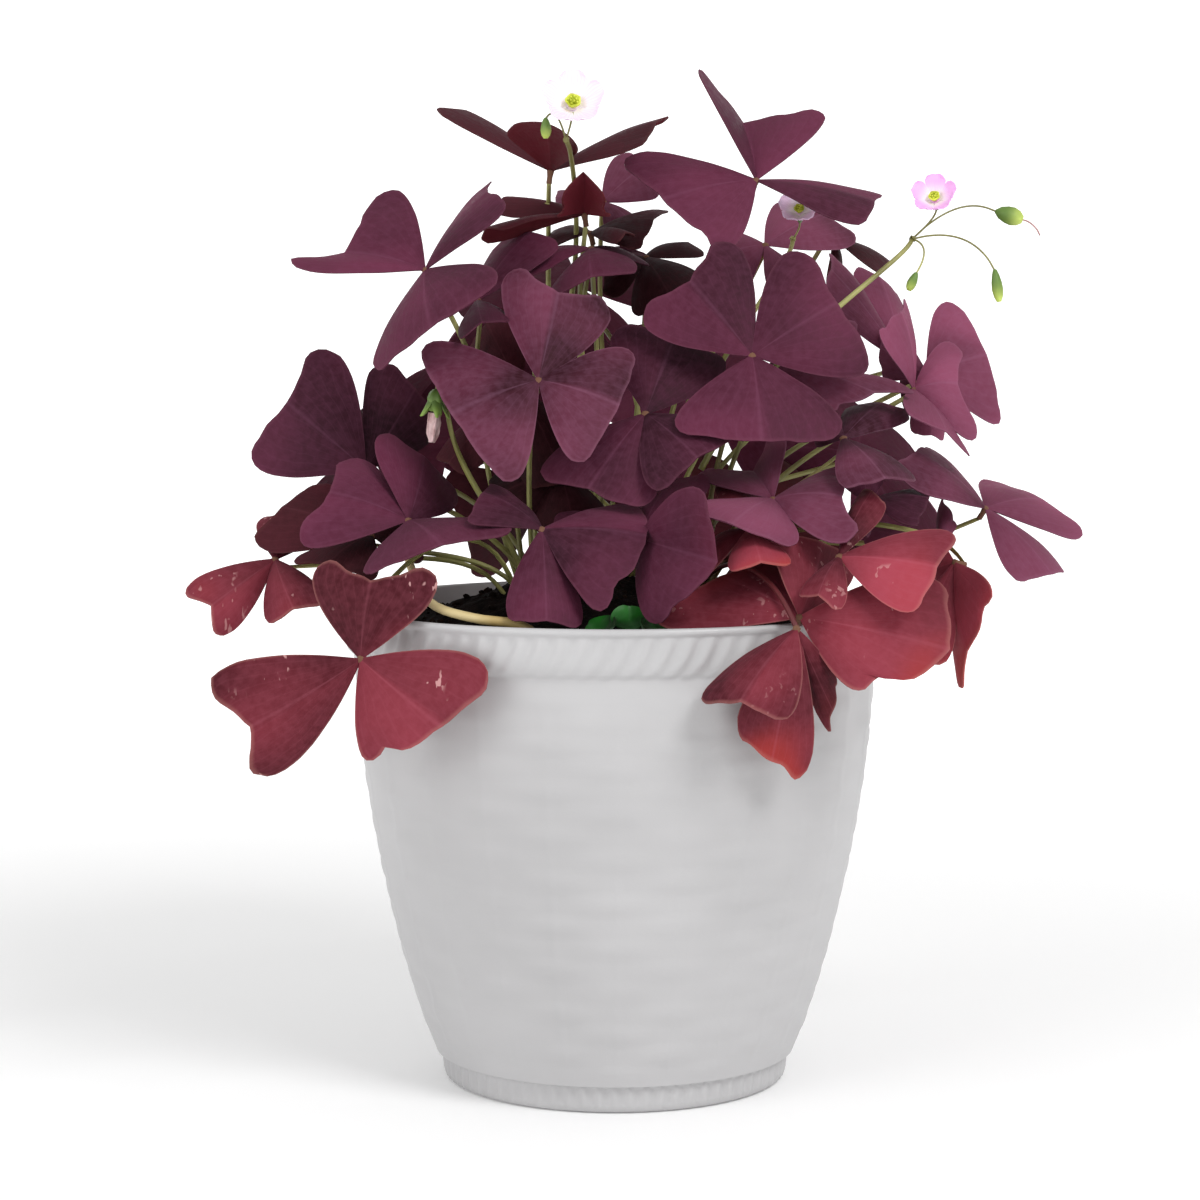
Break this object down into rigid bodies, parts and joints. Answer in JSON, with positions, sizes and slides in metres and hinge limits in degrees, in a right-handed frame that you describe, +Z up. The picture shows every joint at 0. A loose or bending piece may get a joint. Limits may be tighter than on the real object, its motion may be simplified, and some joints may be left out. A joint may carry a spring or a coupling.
{
  "type": "purple_shamrock_in_pot",
  "caption": "Purple shamrock, 44 three-part folded leaves, pale pink flowers and a green seedling, in a white plastic pot with a twisted rope band",
  "frame": {"origin": "centre of the pot's flat underside, on the floor", "axes": "+Z up, -Y is the front that most leaves face, +X to the right seen from the front"},
  "size_m": [0.2879, 0.217, 0.3311],
  "materials": {
    "pot": "injection-moulded plastic, satin gloss, slightly warm white",
    "soil": "loose damp potting soil, near black",
    "leaf_crimson": "old leaf turned crimson, with pale scars",
    "leaf_mauve": "soft matt mauve purple leaf",
    "leaf_aubergine": "soft matt dark purple leaf",
    "leaf_brown": "soft matt maroon brown leaf, seen in shade",
    "stalk": "smooth olive to tan leaf stalk",
    "petal": "thin pale pink petal",
    "flower_centre": "yellow green flower centre",
    "seedling": "fresh green leaf"
  },
  "bodies": {
    "root": {"pot": "pot", "soil": "soil", "leaf_01": "leaf_crimson", "leaf_02": "leaf_mauve", "leaf_03": "leaf_aubergine", "leaf_04": "leaf_aubergine", "leaf_05": "leaf_mauve", "leaf_06": "leaf_mauve", "leaf_07": "leaf_mauve", "leaf_08": "leaf_aubergine", "leaf_09": "leaf_aubergine", "leaf_10": "leaf_mauve", "leaf_11": "leaf_crimson", "leaf_12": "leaf_crimson", "leaf_13": "leaf_crimson", "leaf_14": "leaf_crimson", "leaf_15": "leaf_aubergine", "leaf_16": "leaf_brown", "leaf_17": "leaf_crimson", "leaf_18": "leaf_crimson", "leaf_19": "leaf_mauve", "leaf_20": "leaf_mauve", "leaf_21": "leaf_aubergine", "leaf_22": "leaf_mauve", "leaf_23": "leaf_aubergine", "leaf_24": "leaf_aubergine", "leaf_25": "leaf_aubergine", "leaf_26": "leaf_brown", "leaf_27": "leaf_brown", "leaf_28": "leaf_brown", "leaf_29": "leaf_aubergine", "leaf_30": "leaf_mauve", "leaf_31": "leaf_aubergine", "leaf_32": "leaf_mauve", "leaf_33": "leaf_brown", "leaf_34": "leaf_brown", "leaf_35": "leaf_brown", "leaf_36": "leaf_brown", "leaf_37": "leaf_mauve", "leaf_38": "leaf_aubergine", "leaf_39": "leaf_mauve", "leaf_40": "leaf_aubergine", "leaf_41": "leaf_mauve", "leaf_42": "leaf_brown", "leaf_43": "leaf_brown", "leaf_44": "leaf_aubergine", "stalks_1": "stalk", "stalks_2": "stalk", "stalks_3": "stalk", "bent_stalk": "stalk", "bloom_1_petals": "petal", "bloom_1_centre": "flower_centre", "bloom_2_petals": "petal", "bloom_2_centre": "flower_centre", "bloom_3_petals": "petal", "bloom_3_centre": "flower_centre", "spent_petals": "petal", "seedling": "seedling"}
  },
  "joints": []
}
